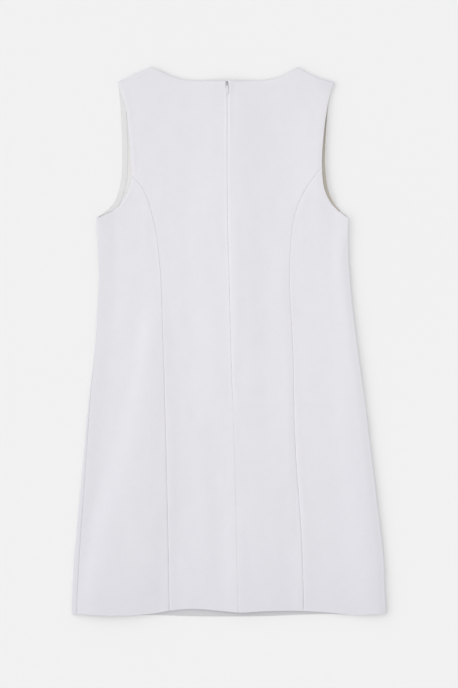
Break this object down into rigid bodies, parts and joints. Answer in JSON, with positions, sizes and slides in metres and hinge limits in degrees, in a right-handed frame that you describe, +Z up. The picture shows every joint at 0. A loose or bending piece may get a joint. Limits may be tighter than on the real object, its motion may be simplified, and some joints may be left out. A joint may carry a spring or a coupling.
{
  "type": "sleeveless shift dress",
  "caption": "Sleeveless A-line mini dress with princess seams, boat neck and centre-back zip, laid flat on its front with its back upwards.",
  "frame": {"origin": "under the middle of the dress's outline, on the surface that it lies on", "axes": "+Y from the hem to the neck, +Z up through the layers, +X to the right as the back is looked at"},
  "size_m": [0.516, 0.9001, 0.0063],
  "materials": {
    "back_cloth": "matte double crepe, cool white",
    "front_cloth": "matte double crepe, cool white, its inner side towards the back",
    "zip_tape": "fine woven tape with a nylon coil",
    "zip_enamel": "smooth pale enamel"
  },
  "bodies": {
    "dress": {"front": "front_cloth", "back_left": "back_cloth", "back_right": "back_cloth", "side_back_left": "back_cloth", "side_back_right": "back_cloth", "zip_tape_left": "zip_tape", "zip_tape_right": "zip_tape", "zip_slider": "zip_enamel"},
    "pull_tab": {"zip_pull_tab": "zip_enamel"}
  },
  "joints": [
    {"name": "pull_tab_hinge", "type": "hinge", "parent": "dress", "child": "pull_tab", "pos_m": [-0.0037, 0.4221, 0.0048], "axis": [-1, 0, 0], "range_deg": [0, 160]}
  ]
}
